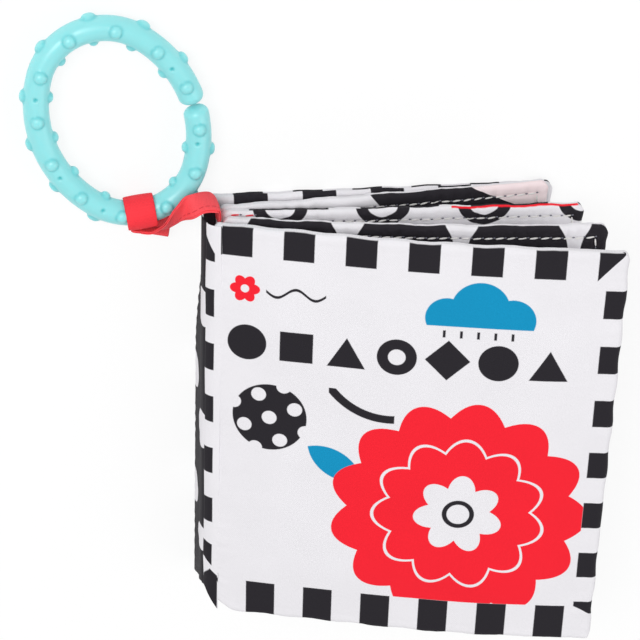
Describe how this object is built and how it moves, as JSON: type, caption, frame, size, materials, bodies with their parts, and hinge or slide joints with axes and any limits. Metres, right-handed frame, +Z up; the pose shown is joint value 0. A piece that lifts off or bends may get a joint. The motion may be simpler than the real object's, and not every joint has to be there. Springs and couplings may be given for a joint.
{
  "type": "soft activity book",
  "caption": "Soft cloth activity book of padded panels lying on its back cover, with a bumpy open ring on a ribbon strap at the top of the spine.",
  "frame": {"origin": "under the middle of the back cover, on the plane that it lies on", "axes": "+X from the spine to the fore edge, +Y to the top of the page, +Z up out of the front cover"},
  "size_m": [0.1871, 0.2151, 0.0586],
  "materials": {
    "cover_cloth": "fine plain weave, printed",
    "leaf_cloth": "fine plain weave, printed",
    "spine_cloth": "fine plain weave, printed",
    "ribbon": "ribbed ribbon",
    "ring_plastic": "satin soft plastic"
  },
  "bodies": {
    "root": {"spine": "spine_cloth", "pages": "leaf_cloth", "ring_strap": "ribbon"},
    "front_cover": {"front_cover": "cover_cloth"},
    "back_cover": {"back_cover": "cover_cloth"},
    "link_ring": {"link_ring": "ring_plastic"}
  },
  "joints": [
    {"name": "front_cover_hinge", "type": "hinge", "parent": "root", "child": "front_cover", "pos_m": [-0.06022, 0, 0.0225], "axis": [0, -1, 0], "range_deg": [0, 160]},
    {"name": "back_cover_hinge", "type": "hinge", "parent": "root", "child": "back_cover", "pos_m": [-0.05936, 0, 0.002], "axis": [0, 1, 0], "range_deg": [0, 165]},
    {"name": "ring_swivel", "type": "hinge", "parent": "root", "child": "link_ring", "pos_m": [-0.0835, 0.09323, 0.00709], "axis": [0, 0.0395, 0.9992], "range_deg": [0, 25]}
  ]
}
